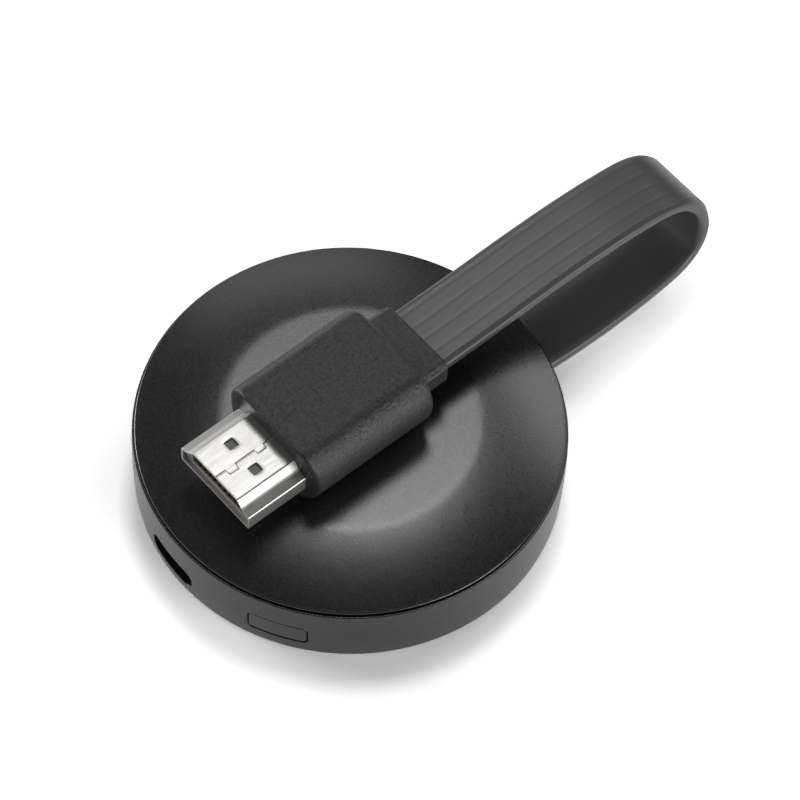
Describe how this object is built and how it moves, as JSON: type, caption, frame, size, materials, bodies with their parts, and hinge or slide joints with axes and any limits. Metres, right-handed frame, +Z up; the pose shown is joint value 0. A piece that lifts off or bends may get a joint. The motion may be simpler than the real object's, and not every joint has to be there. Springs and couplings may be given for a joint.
{
  "type": "wireless display dongle",
  "caption": "Round disc-shaped display dongle with a crowned cover, a power port, a reset button and a flat cable that folds back over the case to a display plug.",
  "frame": {"origin": "centre of the case's round base, on the face that it rests on", "axes": "+Z up through the cover, -Y the way the display plug points over the cover, +X to the plug's right seen from above with the plug pointing down"},
  "size_m": [0.0586, 0.0899, 0.0244],
  "materials": {
    "case_plastic": "smooth satin dark grey",
    "cover_plastic": "fine grained black",
    "board": "green solder mask",
    "screw_steel": "zinc plated",
    "chip_resin": "moulded epoxy",
    "pad_silicone": "soft silicone",
    "spreader_metal": "plain sheet",
    "tin_plate": "tin plated sheet",
    "coil_ferrite": "sintered",
    "small_part_body": "fired ceramic",
    "port_steel": "nickel plated",
    "insulator": "moulded",
    "contact_metal": "gold plated",
    "mould_rubber": "moulded satin",
    "cable_jacket": "smooth satin",
    "header_plastic": "moulded",
    "mould_plastic": "spark eroded grain",
    "shell_steel": "nickel plated, lightly brushed",
    "wire_coating": "extruded",
    "hot_melt": "cast"
  },
  "bodies": {
    "case": {"bottom_case": "case_plastic", "top_cover": "cover_plastic", "main_board": "board", "board_screws": "screw_steel", "processor_chip": "chip_resin", "thermal_pad": "pad_silicone", "heat_spreader": "spreader_metal", "memory_chips": "chip_resin", "storage_chip": "chip_resin", "radio_shield": "tin_plate", "radio_chip": "chip_resin", "antenna": "small_part_body", "clock_crystal": "tin_plate", "power_coils": "coil_ferrite", "small_parts": "small_part_body", "port_shell": "port_steel", "port_tongue": "insulator", "port_pins": "contact_metal", "switch_body": "tin_plate", "cable_gland": "mould_rubber", "inner_cable": "cable_jacket", "cable_header": "header_plastic", "cable_clamp": "header_plastic", "clamp_screws": "screw_steel", "flat_cable": "cable_jacket"},
    "reset_button": {"reset_button": "case_plastic"},
    "switch_plunger": {"switch_plunger": "insulator"},
    "plug": {"plug_mould": "mould_plastic", "strain_relief": "mould_plastic", "plug_cable_end": "cable_jacket", "shield_can": "tin_plate", "plug_shell": "shell_steel", "plug_core": "insulator", "plug_contacts": "contact_metal", "plug_wires": "wire_coating", "wire_filling": "hot_melt"}
  },
  "joints": [
    {"name": "reset_button_press", "type": "slide", "parent": "case", "child": "reset_button", "axis": [-0.5132, 0.8582, 0], "range_m": [0, 0.00035], "stiffness_N_per_m": 600, "springref_m": -0.0002},
    {"name": "switch_plunger_press", "type": "slide", "parent": "case", "child": "switch_plunger", "axis": [-0.5132, 0.8582, 0], "range_m": [0, 0.00035]},
    {"name": "plug_lift", "type": "hinge", "parent": "case", "child": "plug", "pos_m": [0.0008, 0.0593, 0.0117], "axis": [-1, 0, 0], "range_deg": [0, 170], "deforming": ["flat_cable"]}
  ],
  "couplings": [
    {"joint": "switch_plunger_press", "follows": "reset_button_press", "ratio": 1}
  ]
}
